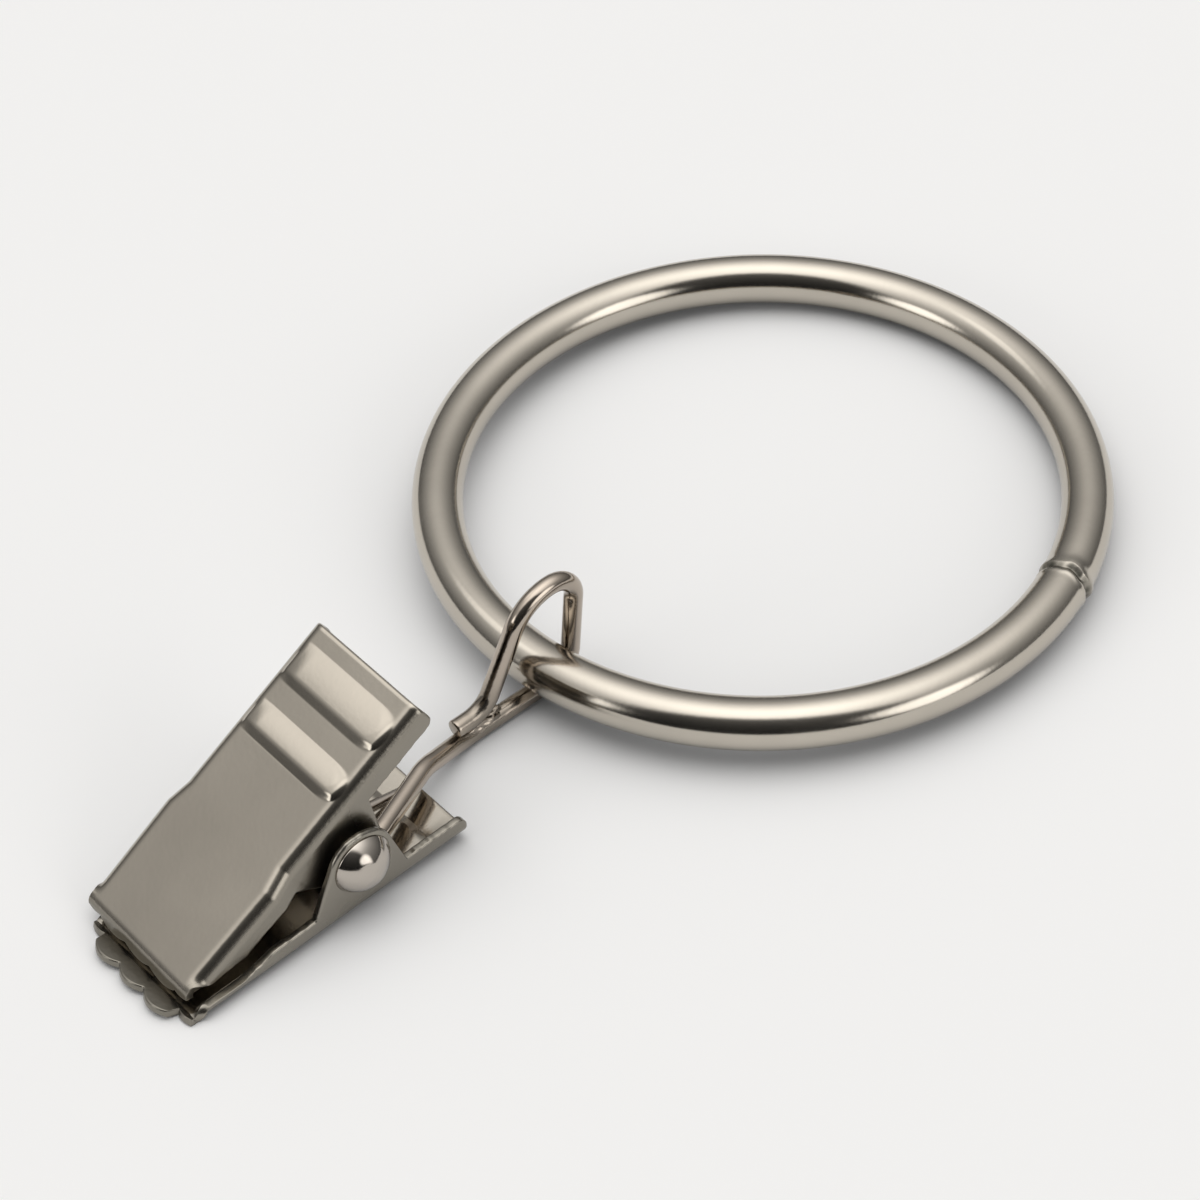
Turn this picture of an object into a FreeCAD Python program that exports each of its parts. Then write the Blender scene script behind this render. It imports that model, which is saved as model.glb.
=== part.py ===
# Curtain ring with clip: a welded wire ring, a bent wire hanger and a sprung clip of two stamped jaws.
# The part lies flat as it comes to rest: +Z up, +X from the clip's nose towards the ring.
import FreeCAD, Part
import math
import os
from FreeCAD import Rotation, Vector

# Ring, in millimetres; angles are in degrees
RING_INNER_DIAMETER = 38.0
RING_WIRE = 3.3
SEAM_ANGLE = 115.0
SEAM_WIDTH = 1.3
SEAM_HEIGHT = 0.16
RING_PLAY = 0.08

# Hanger wire
HANGER_WIRE = 1.2
EYE_HEIGHT = 9.1
EYE_TOP_WIDTH = 4.0
EYE_LEAN = 1.15
EYE_PLAY = 0.12
EYE_BEND_RADIUS = 2.1
RING_SIDE_OFFSET = 2.25
STEM_FOOT = 6.0
STEM_STRAIGHT = 2.6
STEM_KNEE_REACH = 3.9
STEM_KNEE_RISE = 1.55
STEM_KNEE_SIDE = 1.3
STEM_BEND_RADIUS = 4.0
CUT_END_LENGTH = 1.7
CUT_END_REACH = 0.6
END_REST = 0.06
PIN_EYE_TURN = 268.0
PIN_EYE_CLEARANCE = 0.1

# Sheet of both jaws
SHEET = 0.5
SIDE_CLEARANCE = 0.1
FOLD_RADIUS = 0.9
NOSE_BEND_RADIUS = 0.8
EAR_RADIUS = 2.25
RIDGE_ONE_LENGTH = 3.6
RIDGE_TWO_LENGTH = 4.6
RIDGE_HEIGHT = 0.38
RIDGE_END_INSET = 0.4
TAIL_CORNER_RADIUS = 0.7
TOOTH_PITCH = 2.4
TOOTH_DEPTH = 0.5
TEETH_EACH_SIDE = 2
LIP_EDGE_INSET = 0.3
NOSE_FLANGE_HEIGHT = 0.85
NOSE_TAPER_LENGTH = 2.6

# Upper jaw
UPPER_NOSE_WIDTH = 10.2
UPPER_CHEEK_WIDTH = 10.5
UPPER_WIDTH = 9.8
UPPER_CHEEK = 6.8
UPPER_CHEEK_RUN = 1.6
UPPER_LENGTH = 20.3
UPPER_FLAT = 12.85
UPPER_FLANGE = 1.9
UPPER_PIN_ALONG = 11.33
UPPER_PIN_DEPTH = 3.9
UPPER_LIP_LENGTH = 0.75
UPPER_LIP_BEND = 52.0
UPPER_NOSE_STEP = 0.45
UPPER_NOSE_RUN = 0.6
UPPER_EAR_FRONT = 3.6
UPPER_EAR_BACK = 3.1

# Lower jaw
LOWER_WIDTH = 10.2
LOWER_LENGTH = 19.75
LOWER_FLAT = 13.55
LOWER_FLANGE = 1.6
LOWER_PIN_ALONG = 12.4
LOWER_PIN_HEIGHT = 3.75
LOWER_LIP_LENGTH = 1.35
LOWER_LIP_BEND = 18.0
LOWER_NOSE_STEP = 1.05
LOWER_NOSE_RUN = 3.2
LOWER_EAR_FRONT = 3.7
LOWER_EAR_BACK = 2.9
NOSE_GAP = 0.05
PIN_TO_RING = 38.35

# Rivet
PIN_DIAMETER = 1.8
PIN_CLEARANCE = 0.05
HEAD_DIAMETER = 3.9
HEAD_HEIGHT = 1.3
HEAD_GAP = 0.05
TAIL_HEAD_DIAMETER = 2.9
TAIL_HEAD_HEIGHT = 0.55

# Spring
SPRING_WIRE = 0.7
SPRING_FULL_TURNS = 5
SPRING_PITCH = 0.8
SPRING_ARCS_PER_TURN = 4
SPRING_COIL_CLEARANCE = 0.2
SPRING_SIDE_GAP = 0.3
SPRING_LEG_GAP = 0.06
LOWER_LEG_REACH = 6.8
UPPER_LEG_REACH = 7.4

# Sizes that follow
RING_RADIUS = (RING_INNER_DIAMETER + RING_WIRE) / 2
UPPER_HALF = UPPER_WIDTH / 2
UPPER_STATIONS = [(0, UPPER_NOSE_WIDTH / 2), (UPPER_CHEEK, UPPER_CHEEK_WIDTH / 2),
                  (UPPER_CHEEK + UPPER_CHEEK_RUN, UPPER_HALF), (UPPER_LENGTH, UPPER_HALF)]
LOWER_HALF = LOWER_WIDTH / 2
LOWER_STATIONS = [(0, LOWER_HALF), (LOWER_LENGTH, LOWER_HALF)]
LOWER_FAR_SIDE = UPPER_HALF - SHEET - SIDE_CLEARANCE
JAW_STAGGER = LOWER_HALF - LOWER_FAR_SIDE
PIN_RADIUS = PIN_DIAMETER / 2
PIN_EYE_RADIUS = PIN_RADIUS + PIN_EYE_CLEARANCE + HANGER_WIRE / 2
COIL_RADIUS = PIN_RADIUS + SPRING_COIL_CLEARANCE + SPRING_WIRE / 2
ACROSS = Vector(0, 1, 0)


def sin(angle):
    return math.sin(math.radians(angle))


def cos(angle):
    return math.cos(math.radians(angle))


def line(start, end):
    return Part.LineSegment(start, end).toShape()


def arc(start, middle, end):
    return Part.Arc(start, middle, end).toShape()


def round_arc(centre, radius, start_angle, end_angle):
    """Arc in an XZ plane, from one angle to another, counted from +X towards +Z."""
    places = [start_angle, (start_angle + end_angle) / 2, end_angle]
    return arc(*[centre + Vector(radius * cos(a), 0, radius * sin(a)) for a in places])


def tangent_point(outside, centre, radius, side):
    """Point where a line from outside touches a circle; side is +1 or -1."""
    away = outside - centre
    spread = math.degrees(math.acos(radius / away.Length))
    angle = math.degrees(math.atan2(away.z, away.x)) + side * spread
    return centre + Vector(radius * cos(angle), 0, radius * sin(angle))


def prism(edges, half_width):
    """Solid with an outline in the XZ plane, drawn out to half_width on both sides."""
    face = Part.Face(Part.Wire(edges))
    face.translate(ACROSS * -half_width)
    return face.extrude(ACROSS * (2 * half_width))


def turned(edges, axis_point, axis):
    """Solid of revolution of an outline that closes on its axis."""
    return Part.Face(Part.Wire(edges)).revolve(axis_point, axis, 360)


def polyline(points):
    closed = points + points[:1]
    return [line(a, b) for a, b in zip(closed, closed[1:])]


def rounded_run(points, radii):
    """Straight runs through the points, with an arc of the given radius at each inner point."""
    edges = []
    start = points[0]
    for before, corner, after, radius in zip(points, points[1:], points[2:], radii):
        back = (before - corner).normalize()
        ahead = (after - corner).normalize()
        half_turn = (math.pi - back.getAngle(ahead)) / 2
        reach = radius * math.tan(half_turn)
        centre_way = (back + ahead).normalize()
        middle = corner + centre_way * (radius / math.cos(half_turn) - radius)
        edges.append(line(start, corner + back * reach))
        edges.append(arc(corner + back * reach, middle, corner + ahead * reach))
        start = corner + ahead * reach
    edges.append(line(start, points[-1]))
    return edges


def wire_along(edges, diameter):
    """Round wire swept along a path."""
    path = Part.Wire(edges)
    first = path.OrderedEdges[0]
    begin = first.valueAt(first.FirstParameter)
    way = first.tangentAt(first.FirstParameter)
    section = Part.Wire(Part.makeCircle(diameter / 2, begin, way))
    return path.makePipeShell([section], True, False)


def trough(stations, floor, radius, top):
    """Bar along X with a flat top and its two lower edges rounded; each station is (x, half width)."""
    corner = radius * (1 - cos(45))
    low = floor + radius
    sections = []
    for x, half in stations:
        side = half - radius
        sections.append(Part.Wire([
            line(Vector(x, -half, top), Vector(x, -half, low)),
            arc(Vector(x, -half, low), Vector(x, -half + corner, floor + corner), Vector(x, -side, floor)),
            line(Vector(x, -side, floor), Vector(x, side, floor)),
            arc(Vector(x, side, floor), Vector(x, half - corner, floor + corner), Vector(x, half, low)),
            line(Vector(x, half, low), Vector(x, half, top)),
            line(Vector(x, half, top), Vector(x, -half, top)),
        ]))
    return Part.makeLoft(sections, True, True)


def channel(stations, height):
    """Folded sheet channel, open at the top, with its plate's outside at z = 0."""
    outside = trough(stations, 0, FOLD_RADIUS, height)
    inside = [(x, half - SHEET) for x, half in stations]
    return outside.cut(trough(inside, SHEET, FOLD_RADIUS - SHEET, height))


def ridge(start, length, surface, half):
    """Bead across the plate: a circle's segment drawn out over the width, with rounded ends."""
    first = Vector(start, 0, surface)
    last = Vector(start + length, 0, surface)
    crest = Vector(start + length / 2, 0, surface - RIDGE_HEIGHT)
    back = Vector(0, 0, SHEET / 2)
    outline = [arc(first, crest, last), line(last, last + back), line(last + back, first + back),
               line(first + back, first)]
    stations = [(start, half), (start + length, half)]
    ends = trough(stations, surface - RIDGE_HEIGHT, RIDGE_HEIGHT, surface + SHEET)
    return prism(outline, half).common(ends)


def ridges(flat):
    """Outer ridges of a handle and the hollows that the press leaves behind them."""
    outer, inner = [], []
    start = flat
    for length in (RIDGE_ONE_LENGTH, RIDGE_TWO_LENGTH):
        radius = (length ** 2 / 4 + RIDGE_HEIGHT ** 2) / (2 * RIDGE_HEIGHT)
        drop = radius - RIDGE_HEIGHT - SHEET
        hollow = 2 * math.sqrt((radius - SHEET) ** 2 - drop ** 2)
        outer.append((start, length))
        inner.append((start + (length - hollow) / 2, hollow))
        start += length
    return outer, inner


def side_outline(length, flange, nose_run, pin_along, pin_height, ear_front, ear_back):
    """Side view of a jaw: tapered nose, flange, ear round the pin and rounded tail."""
    pin = Vector(pin_along, 0, pin_height)
    front = Vector(pin_along - ear_front, 0, flange)
    back = Vector(pin_along + ear_back, 0, flange)
    ear_start = tangent_point(front, pin, EAR_RADIUS, -1)
    ear_end = tangent_point(back, pin, EAR_RADIUS, 1)
    ear_top = pin + Vector(0, 0, EAR_RADIUS)
    taper_end = Vector(nose_run + NOSE_TAPER_LENGTH, 0, flange)
    under = -2 * RIDGE_HEIGHT
    corner = TAIL_CORNER_RADIUS
    bulge = corner * (1 - cos(45))
    return [
        line(Vector(0, 0, under), Vector(0, 0, NOSE_FLANGE_HEIGHT)),
        line(Vector(0, 0, NOSE_FLANGE_HEIGHT), Vector(nose_run, 0, NOSE_FLANGE_HEIGHT)),
        line(Vector(nose_run, 0, NOSE_FLANGE_HEIGHT), taper_end),
        line(taper_end, front),
        line(front, ear_start),
        arc(ear_start, ear_top, ear_end),
        line(ear_end, back),
        line(back, Vector(length - corner, 0, flange)),
        arc(Vector(length - corner, 0, flange), Vector(length - bulge, 0, flange - bulge),
            Vector(length, 0, flange - corner)),
        line(Vector(length, 0, flange - corner), Vector(length, 0, under)),
        line(Vector(length, 0, under), Vector(0, 0, under)),
    ]


def toothed_lip(half, lip_length, bend, step):
    """Nose of a jaw: a short bend inwards, then a lip whose edge is a row of rounded teeth."""
    centres = [TOOTH_PITCH * k for k in range(-TEETH_EACH_SIDE, TEETH_EACH_SIDE + 1)]
    crests = [lip_length - (step if abs(k) == TEETH_EACH_SIDE else 0)
              for k in range(-TEETH_EACH_SIDE, TEETH_EACH_SIDE + 1)]
    lower_crests = [min(pair) for pair in zip(crests, crests[1:])]
    lower_crests = crests[:1] + lower_crests + crests[-1:]
    valleys = [max(crest - TOOTH_DEPTH, crest / 2) for crest in lower_crests]
    bounds = [-half] + [(a + b) / 2 for a, b in zip(centres, centres[1:])] + [half]
    edges = [line(Vector(0, -half, 0), Vector(-valleys[0], -half, 0))]
    for k, crest in enumerate(crests):
        low, high = bounds[k], bounds[k + 1]
        edges.append(arc(Vector(-valleys[k], low, 0), Vector(-crest, (low + high) / 2, 0),
                         Vector(-valleys[k + 1], high, 0)))
    edges.append(line(Vector(-valleys[-1], half, 0), Vector(0, half, 0)))
    edges.append(line(Vector(0, half, 0), Vector(0, -half, 0)))
    lip = Part.Face(Part.Wire(edges)).extrude(Vector(0, 0, SHEET))
    hinge = Vector(0, 0, NOSE_BEND_RADIUS)
    lip.rotate(hinge, ACROSS, bend)
    root = polyline([Vector(0, -half, 0), Vector(0, half, 0),
                     Vector(0, half, SHEET), Vector(0, -half, SHEET)])
    return Part.Face(Part.Wire(root)).revolve(hinge, ACROSS, bend).fuse(lip)


def jaw(stations, flat, flange, nose_run, pin_along, pin_height, ear_front, ear_back,
        lip, bend, step, hole):
    """One stamped jaw on its back: plate's outside at z = 0, flanges up, nose bend at x = 0."""
    nose_half = stations[0][1]
    length, half = stations[-1]
    sheet = channel(stations, pin_height + 2 * EAR_RADIUS)
    outer, inner = ridges(flat)
    bead_half = half - RIDGE_END_INSET
    sheet = sheet.fuse([ridge(start, run, 0, bead_half) for start, run in outer])
    sheet = sheet.cut([ridge(start, run, SHEET, bead_half - SHEET) for start, run in inner])
    outline = side_outline(length, flange, nose_run, pin_along, pin_height, ear_front, ear_back)
    sheet = sheet.common(prism(outline, 2 * half))
    sheet = sheet.fuse(toothed_lip(nose_half - LIP_EDGE_INSET, lip, bend, step))
    drill = Part.makeCylinder(hole, 4 * half, Vector(pin_along, -2 * half, pin_height), ACROSS)
    return sheet.cut(drill).removeSplitter()


def lip_tips(lip, bend):
    """Outer and inner corners of a lip's edge, in the jaw's own side view."""
    outer = Vector(-NOSE_BEND_RADIUS * sin(bend) - lip * cos(bend), 0,
                   NOSE_BEND_RADIUS * (1 - cos(bend)) + lip * sin(bend))
    return outer, outer + Vector(SHEET * sin(bend), 0, SHEET * cos(bend))


def closed_angle():
    """Angle between the two plates at which the upper teeth meet the lower plate."""
    room = LOWER_PIN_HEIGHT - SHEET - NOSE_GAP
    angles = []
    for tip in lip_tips(UPPER_LIP_LENGTH, UPPER_LIP_BEND):
        ahead = UPPER_PIN_ALONG - tip.x
        above = UPPER_PIN_DEPTH - tip.z
        lift = math.degrees(math.atan2(above, ahead))
        angles.append(math.degrees(math.asin(room / math.hypot(ahead, above))) + lift)
    return min(angles)


# The clip rests on its nose and on its first ridge, the ring on the eye and on the table
REST_TILT = math.degrees(math.atan2(RIDGE_HEIGHT, LOWER_FLAT + RIDGE_ONE_LENGTH / 2))
PLATE_ANGLE = REST_TILT + closed_angle()
EYE_SIDE = math.degrees(math.asin(RING_SIDE_OFFSET / RING_RADIUS))
RING_TILT = math.degrees(math.asin((HANGER_WIRE + RING_PLAY) / (RING_RADIUS * (1 + cos(EYE_SIDE)))))
RING_HEIGHT = RING_WIRE / 2 + RING_RADIUS * sin(RING_TILT)

LOWER_TIP = lip_tips(LOWER_LIP_LENGTH, LOWER_LIP_BEND)[0]
PIN_ABOVE_NOSE = LOWER_PIN_ALONG * sin(REST_TILT) + LOWER_PIN_HEIGHT * cos(REST_TILT)
TIP_TO_PIN = Vector(LOWER_PIN_ALONG - LOWER_TIP.x, 0, LOWER_PIN_HEIGHT - LOWER_TIP.z)
NOSE_TO_PIN = TIP_TO_PIN.x * cos(REST_TILT) - TIP_TO_PIN.z * sin(REST_TILT)
RING_REACH = RING_RADIUS * cos(RING_TILT) + RING_WIRE / 2
PIN_X = (NOSE_TO_PIN - PIN_TO_RING - RING_REACH) / 2
PIN = Vector(PIN_X, -RING_SIDE_OFFSET, PIN_ABOVE_NOSE)
RING_CENTRE = Vector(PIN_X + PIN_TO_RING, 0, RING_HEIGHT)
EYE_ON_RING = RING_CENTRE + Vector(
    -RING_RADIUS * cos(EYE_SIDE) * cos(RING_TILT), -RING_SIDE_OFFSET,
    RING_RADIUS * cos(EYE_SIDE) * sin(RING_TILT))


def set_on_pin(shape, pin_along, pin_height, angle, side):
    """Puts a jaw's own pin hole on the rivet, with its plate at an angle to the table."""
    shape.translate(Vector(-pin_along, side, -pin_height))
    shape.rotate(Vector(0, 0, 0), ACROSS, -angle)
    shape.translate(PIN)
    return shape


def lower_jaw():
    shape = jaw(LOWER_STATIONS, LOWER_FLAT, LOWER_FLANGE, LOWER_NOSE_RUN, LOWER_PIN_ALONG,
                LOWER_PIN_HEIGHT, LOWER_EAR_FRONT, LOWER_EAR_BACK, LOWER_LIP_LENGTH, LOWER_LIP_BEND,
                LOWER_NOSE_STEP, PIN_RADIUS)
    return set_on_pin(shape, LOWER_PIN_ALONG, LOWER_PIN_HEIGHT, REST_TILT, -JAW_STAGGER)


def upper_jaw():
    shape = jaw(UPPER_STATIONS, UPPER_FLAT, UPPER_FLANGE, UPPER_NOSE_RUN, UPPER_PIN_ALONG,
                UPPER_PIN_DEPTH, UPPER_EAR_FRONT, UPPER_EAR_BACK, UPPER_LIP_LENGTH, UPPER_LIP_BEND,
                UPPER_NOSE_STEP, PIN_RADIUS + PIN_CLEARANCE)
    shape.rotate(Vector(0, 0, 0), Vector(1, 0, 0), 180)
    return set_on_pin(shape, UPPER_PIN_ALONG, -UPPER_PIN_DEPTH, PLATE_ANGLE, 0)


def dome(radius, height, base, way):
    """Rounded rivet head: a circle's segment turned about the pin's axis."""
    ball = (radius ** 2 + height ** 2) / (2 * height)
    half_span = math.degrees(math.asin(radius / ball)) / 2
    middle = Vector(ball * sin(half_span), way * (ball * cos(half_span) - ball + height), 0)
    edges = [
        line(Vector(0, 0, 0), Vector(radius, 0, 0)),
        arc(Vector(radius, 0, 0), middle, Vector(0, way * height, 0)),
        line(Vector(0, way * height, 0), Vector(0, 0, 0)),
    ]
    return turned(edges, Vector(0, 0, 0), ACROSS).translated(base)


def pivot_rivet():
    near = PIN - ACROSS * (LOWER_HALF + JAW_STAGGER)
    far = PIN + ACROSS * (UPPER_HALF + HEAD_GAP)
    shank = Part.makeCylinder(PIN_RADIUS, (far - near).Length, near, ACROSS)
    heads = [dome(HEAD_DIAMETER / 2, HEAD_HEIGHT, near, -1),
             dome(TAIL_HEAD_DIAMETER / 2, TAIL_HEAD_HEIGHT, far, 1)]
    return shank.fuse(heads).removeSplitter()


def curtain_ring():
    ring = Part.makeTorus(RING_RADIUS, RING_WIRE / 2)
    reach = RING_WIRE / 2
    low = Vector(RING_RADIUS, -SEAM_WIDTH / 2, 0)
    high = Vector(RING_RADIUS, SEAM_WIDTH / 2, 0)
    root = Vector(reach - SEAM_HEIGHT, 0, 0)
    edges = [
        line(low, low + root),
        arc(low + root, Vector(RING_RADIUS + reach + SEAM_HEIGHT, 0, 0), high + root),
        line(high + root, high),
        line(high, low),
    ]
    seam = turned(edges, low, ACROSS)
    seam.rotate(Vector(0, 0, 0), Vector(0, 0, 1), 180 + SEAM_ANGLE)
    ring = ring.fuse(seam).removeSplitter()
    ring.rotate(Vector(0, 0, 0), ACROSS, RING_TILT)
    return ring.translated(RING_CENTRE)


def hanger_wire():
    """Open eye round the rivet, stem between the handles, and the tall eye that hangs on the ring."""
    radius = HANGER_WIRE / 2
    pin_eye = PIN - ACROSS * (UPPER_HALF - SHEET - PIN_EYE_CLEARANCE - radius)
    foot = Vector(EYE_ON_RING.x - STEM_FOOT, PIN.y, radius)
    inner = EYE_ON_RING.x + RING_WIRE / 2 + radius + EYE_PLAY
    low = Vector(inner, PIN.y, radius)
    top = Vector(inner + EYE_LEAN, PIN.y, EYE_HEIGHT - radius)
    shoulder = top - Vector(EYE_TOP_WIDTH, 0, 0)
    end = foot + Vector(-CUT_END_REACH, 0, HANGER_WIRE + END_REST)
    rest = foot + Vector(CUT_END_LENGTH, 0, HANGER_WIRE + END_REST)
    leave = pin_eye - Vector(0, 0, PIN_EYE_RADIUS)
    straight = leave + Vector(STEM_STRAIGHT, 0, 0)
    knee = foot + Vector(-STEM_KNEE_REACH, -STEM_KNEE_SIDE, STEM_KNEE_RISE)
    path = [round_arc(pin_eye, PIN_EYE_RADIUS, -90 - PIN_EYE_TURN, -90)]
    points = [leave, straight, knee, foot, low, top, shoulder, rest, end]
    radii = 3 * [STEM_BEND_RADIUS] + 4 * [EYE_BEND_RADIUS]
    return wire_along(path + rounded_run(points, radii), HANGER_WIRE)


def on_coil(angle):
    return Vector(COIL_RADIUS * cos(angle), 0, COIL_RADIUS * sin(angle))


def torsion_spring():
    """Close coil round the rivet, with one leg along each handle."""
    reach = SPRING_WIRE / 2
    far = LOWER_FAR_SIDE - SHEET - SPRING_SIDE_GAP - reach
    leg_depth = SHEET - RIDGE_HEIGHT + SPRING_LEG_GAP + reach
    lower_tip = Vector(LOWER_LEG_REACH, 0, leg_depth - LOWER_PIN_HEIGHT)
    upper_tip = Vector(UPPER_LEG_REACH, 0, UPPER_PIN_DEPTH - leg_depth)
    lower_tip = Rotation(ACROSS, -REST_TILT).multVec(lower_tip)
    upper_tip = Rotation(ACROSS, -PLATE_ANGLE).multVec(upper_tip)
    leave_low = tangent_point(lower_tip, Vector(), COIL_RADIUS, -1)
    leave_high = tangent_point(upper_tip, Vector(), COIL_RADIUS, 1)
    first = math.degrees(math.atan2(leave_low.z, leave_low.x))
    last = math.degrees(math.atan2(leave_high.z, leave_high.x))
    turns = SPRING_FULL_TURNS + ((first - last) % 360) / 360
    span = ACROSS * (turns * SPRING_PITCH)
    count = math.ceil(turns * SPRING_ARCS_PER_TURN)
    places = [on_coil(first - 360 * turns * k / (2 * count)) + span * (k / (2 * count))
              for k in range(2 * count + 1)]
    coil = [arc(*places[k:k + 3]) for k in range(0, 2 * count, 2)]
    path = [line(lower_tip, places[0])] + coil + [line(places[-1], upper_tip + span)]
    spring = wire_along(path, SPRING_WIRE)
    return spring.translated(PIN + ACROSS * far - span)


nodes = {
    "curtain_ring": curtain_ring(),
    "hanger_wire": hanger_wire(),
    "lower_jaw": lower_jaw(),
    "upper_jaw": upper_jaw(),
    "pivot_rivet": pivot_rivet(),
    "torsion_spring": torsion_spring(),
}
os.makedirs("parts", exist_ok=True)
for name, shape in nodes.items():
    solids = shape.Solids
    print(name, "valid", shape.isValid(), "solids", len(solids), "volume", round(shape.Volume, 3))
    shape.exportStep("parts/" + name + ".step")
print("pin", PIN, "eye on ring", EYE_ON_RING, "plate angle", PLATE_ANGLE, "ring tilt", RING_TILT)
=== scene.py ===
# %% [markdown]
# # A curtain ring with a clip
#
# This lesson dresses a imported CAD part: a welded wire ring, a bent wire hanger and a sprung clip of two
# stamped jaws, all in polished nickel. The CAD part gives the frame and the sizes. Its own meshes could be
# shown as they are, but polished metal shows every facet. So each piece is drawn again here, as a smooth and
# closed surface over two parameters. All sizes are written in millimetres and become metres in one place.

# %% Load the CAD frame
import math

import bpy
import numpy as np
from mathutils import Matrix, Vector


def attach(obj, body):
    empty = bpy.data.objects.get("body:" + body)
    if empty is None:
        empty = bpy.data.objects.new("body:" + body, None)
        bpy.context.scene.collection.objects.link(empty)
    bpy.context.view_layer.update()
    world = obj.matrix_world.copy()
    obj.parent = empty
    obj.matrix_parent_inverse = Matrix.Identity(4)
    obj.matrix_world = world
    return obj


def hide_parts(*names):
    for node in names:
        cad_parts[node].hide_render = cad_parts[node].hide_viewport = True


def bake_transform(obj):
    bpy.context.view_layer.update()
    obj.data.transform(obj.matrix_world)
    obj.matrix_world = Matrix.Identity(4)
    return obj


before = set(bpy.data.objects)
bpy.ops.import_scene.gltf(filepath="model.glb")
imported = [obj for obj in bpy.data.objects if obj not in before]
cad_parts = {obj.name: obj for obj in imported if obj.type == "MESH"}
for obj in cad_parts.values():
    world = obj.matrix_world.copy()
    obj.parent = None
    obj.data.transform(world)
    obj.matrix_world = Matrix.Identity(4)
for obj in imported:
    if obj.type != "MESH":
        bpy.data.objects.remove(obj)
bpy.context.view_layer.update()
print("CAD nodes:", sorted(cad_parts))

# %% [markdown]
# ## Shared sizes
#
# These are the sizes of the CAD part that more than one piece needs. The rivet's axis and the ring's centre
# are the two places that everything else is measured from. A cut edge is rounded over three close rows of
# points, and the edge insets say how far each is set in. Both jaws are cut and folded in the same way, so
# each is a table of measures for the same functions.
#
# In a jaw's table the stations are places along the jaw with its half width there. The pin is the rivet's
# place along the jaw and above its outside. The ear gives how far the ear's foot reaches before and behind
# the pin. The lip is the toothed end, bent by an angle, and its outer teeth are set back by the step.

# %% Shared sizes in millimetres, angles in degrees
MM = 0.001
PIN = np.array([-23.39733, -2.25, 4.05573])
PIN_RADIUS = 0.9
RING_CENTRE = np.array([14.95267, 0.0, 2.29194])
RING_WIRE = 3.3
SHEET = 0.5
EDGE_ROUND = 0.12
EDGE_INSETS = EDGE_ROUND * np.array([0.0, 0.3, 1.0])
REST_TILT = 1.41810
PLATE_ANGLE = 29.08820

UPPER = {
    "stations": ((0.0, 5.1), (6.8, 5.25), (8.4, 4.9), (20.3, 4.9)), "length": 20.3, "flat": 12.85,
    "flange": 1.9, "nose_run": 0.6, "pin": (11.33, 3.9), "ear": (3.6, 3.1),
    "lip": 0.75, "bend": 52.0, "step": 0.45,
}
LOWER = {
    "stations": ((0.0, 5.1), (19.75, 5.1)), "length": 19.75, "flat": 13.55,
    "flange": 1.6, "nose_run": 3.2, "pin": (12.4, 3.75), "ear": (3.7, 2.9),
    "lip": 1.35, "bend": 18.0, "step": 1.05,
}
print("jaw lengths:", UPPER["length"], LOWER["length"])


# %% [markdown]
# ## From grids to meshes
#
# A surface over two parameters is an array of points, rows by columns. Neighbouring points make a quad.
# A direction that closes on itself gets one more strip of quads, and an open tube gets a flat cap. Blender
# could weld loose faces afterwards, but shared vertex numbers make the surface closed from the start.

# %% Grid helpers
def quads(index):
    """Quads between neighbouring rows and columns of an array of vertex numbers."""
    corners = [index[:-1, :-1], index[:-1, 1:], index[1:, 1:], index[1:, :-1]]
    return np.stack(corners, axis=-1).reshape(-1, 4)


def tube_faces(grid, caps):
    """Faces of a tube over a grid of points: wrapped columns, and two flat caps or else wrapped rows."""
    rows, columns = grid.shape[:2]
    index = np.arange(rows * columns).reshape(rows, columns)
    around = np.hstack([index, index[:, :1]])
    if not caps:
        around = np.vstack([around, around[:1]])
    faces = quads(around).tolist()
    if caps:
        faces += [index[0, ::-1].tolist(), index[-1].tolist()]
    return faces


def turn_outward(mesh):
    """Turns all faces of a closed mesh outwards if its volume, summed over its triangles, is negative."""
    mesh.calc_loop_triangles()
    corners = np.empty(len(mesh.loop_triangles) * 3, dtype=np.int32)
    mesh.loop_triangles.foreach_get("vertices", corners)
    places = np.empty(len(mesh.vertices) * 3)
    mesh.vertices.foreach_get("co", places)
    a, b, c = places.reshape(-1, 3)[corners.reshape(-1, 3)].transpose(1, 0, 2)
    if np.einsum("ij,ij->", a, np.cross(b, c)) < 0:
        mesh.flip_normals()


# %% From points to a piece
def add_piece(name, points, faces, node, body, mark=0.0):
    """A smooth mesh from points in millimetres; it stands for a CAD node and rides on a CAD body.

    The mark is a value from 0 to 1 at each vertex that its material can use, such as a weld,
    or a fold, where it also darkens the colour as painted shade.
    """
    mesh = bpy.data.meshes.new(name)
    mesh.from_pydata((points.reshape(-1, 3) * MM).tolist(), [], faces)
    mesh.polygons.foreach_set("use_smooth", np.ones(len(mesh.polygons), dtype=bool))
    mesh.validate()
    mesh.update()
    turn_outward(mesh)
    marks = np.broadcast_to(mark, points.shape[:-1]).astype(np.float32).ravel()
    mesh.attributes.new("mark", "FLOAT", "POINT").data.foreach_set("value", marks)
    piece = bpy.data.objects.new(name, mesh)
    bpy.context.scene.collection.objects.link(piece)
    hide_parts(node)
    if body:
        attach(piece, body)
    print(name, len(mesh.vertices), "vertices")
    return piece


# %% [markdown]
# ## The ring's weld
#
# The real ring is round steel wire, bent to a circle, butt-welded and plated. At the weld one end is upset
# into a collar, and a ragged groove with a low lip lies beside it. These could be sculpted or given by a
# bump texture, but a bump doesn't change the outline. Here the wire's radius itself changes: collar, groove
# and lip are bell curves of the distance from the seam, and waves round the wire make them uneven.

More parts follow.
